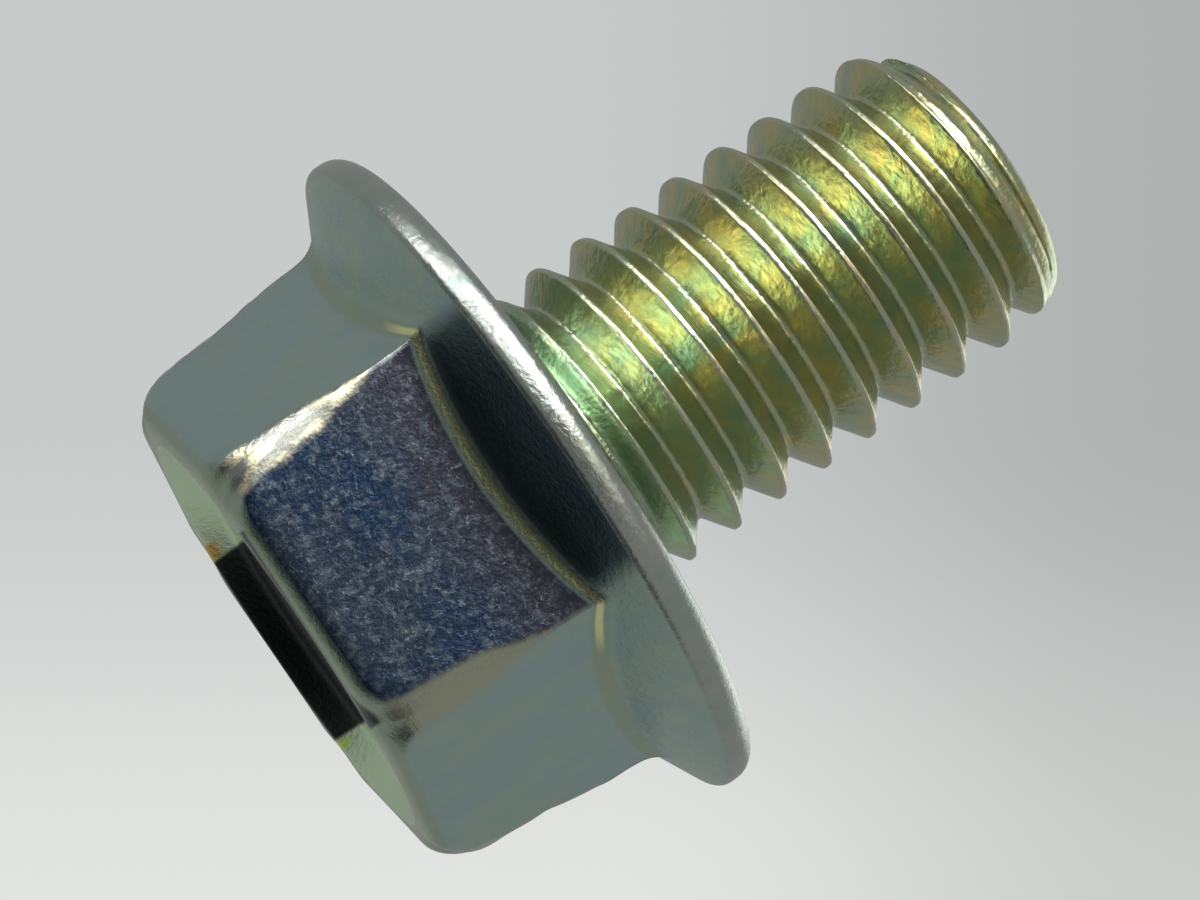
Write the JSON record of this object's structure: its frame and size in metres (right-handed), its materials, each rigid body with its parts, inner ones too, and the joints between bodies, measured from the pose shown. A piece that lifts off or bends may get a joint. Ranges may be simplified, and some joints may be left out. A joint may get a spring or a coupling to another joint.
{
  "type": "flange bolt",
  "caption": "Short hexagon flange bolt with a rounded, dished head, a conical flange and a shank threaded right up to the head.",
  "frame": {"origin": "centre of the flange's flat bearing face, on the thread's axis", "axes": "+Z along the shank towards its tip, and +X square to one flat of the hexagon, so the bolt stands on its head"},
  "size_m": [0.0132, 0.0132, 0.0153],
  "materials": {
    "plated_steel": "zinc plate with a thin yellow-green iridescent passivation, satin on the head and bright on the thread"
  },
  "bodies": {
    "root": {"flange_bolt": "plated_steel"}
  },
  "joints": []
}
